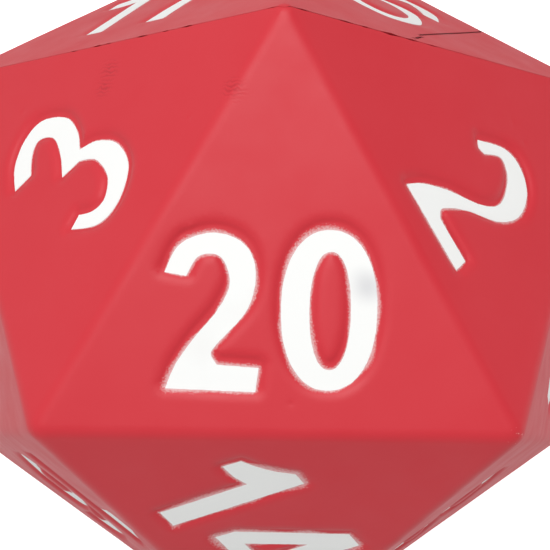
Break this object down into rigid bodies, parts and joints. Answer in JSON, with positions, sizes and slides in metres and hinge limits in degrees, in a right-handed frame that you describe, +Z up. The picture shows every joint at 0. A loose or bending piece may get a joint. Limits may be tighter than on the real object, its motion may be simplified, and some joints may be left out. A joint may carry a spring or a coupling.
{
  "type": "polyhedral die",
  "caption": "Large soft foam twenty-sided die with recessed white numerals on its triangular faces, for tabletop games and classroom play.",
  "frame": {"origin": "middle of the resting face, the one that carries the numeral 1", "axes": "+Z up through the opposite face, which carries the numeral 20; +Y towards the corner that the digits of the 20 point to; +X to the right of the 20"},
  "size_m": [0.1354, 0.1554, 0.127],
  "materials": {
    "foam_skin": "satin self-skinned polyurethane foam, red",
    "foam_core": "open matte cellular polyurethane foam, dyed through",
    "numeral_paint": "sprayed white paint, soft edged"
  },
  "bodies": {
    "root": {"foam_core": "foam_core", "numeral_01": "numeral_paint", "numeral_02": "numeral_paint", "numeral_03": "numeral_paint", "numeral_04": "numeral_paint", "numeral_05": "numeral_paint", "numeral_06": "numeral_paint", "numeral_06_dot": "numeral_paint", "numeral_07": "numeral_paint", "numeral_08": "numeral_paint", "numeral_09": "numeral_paint", "numeral_09_dot": "numeral_paint", "numeral_10_left": "numeral_paint", "numeral_10_right": "numeral_paint", "numeral_11_left": "numeral_paint", "numeral_11_right": "numeral_paint", "numeral_12_left": "numeral_paint", "numeral_12_right": "numeral_paint", "numeral_13_left": "numeral_paint", "numeral_13_right": "numeral_paint", "numeral_14_left": "numeral_paint", "numeral_14_right": "numeral_paint", "numeral_15_left": "numeral_paint", "numeral_15_right": "numeral_paint", "numeral_16_left": "numeral_paint", "numeral_16_right": "numeral_paint", "numeral_17_left": "numeral_paint", "numeral_17_right": "numeral_paint", "numeral_18_left": "numeral_paint", "numeral_18_right": "numeral_paint", "numeral_19_left": "numeral_paint", "numeral_19_right": "numeral_paint", "numeral_20_left": "numeral_paint", "numeral_20_right": "numeral_paint", "skin_base": "foam_skin", "skin_cap": "foam_skin"}
  },
  "joints": []
}
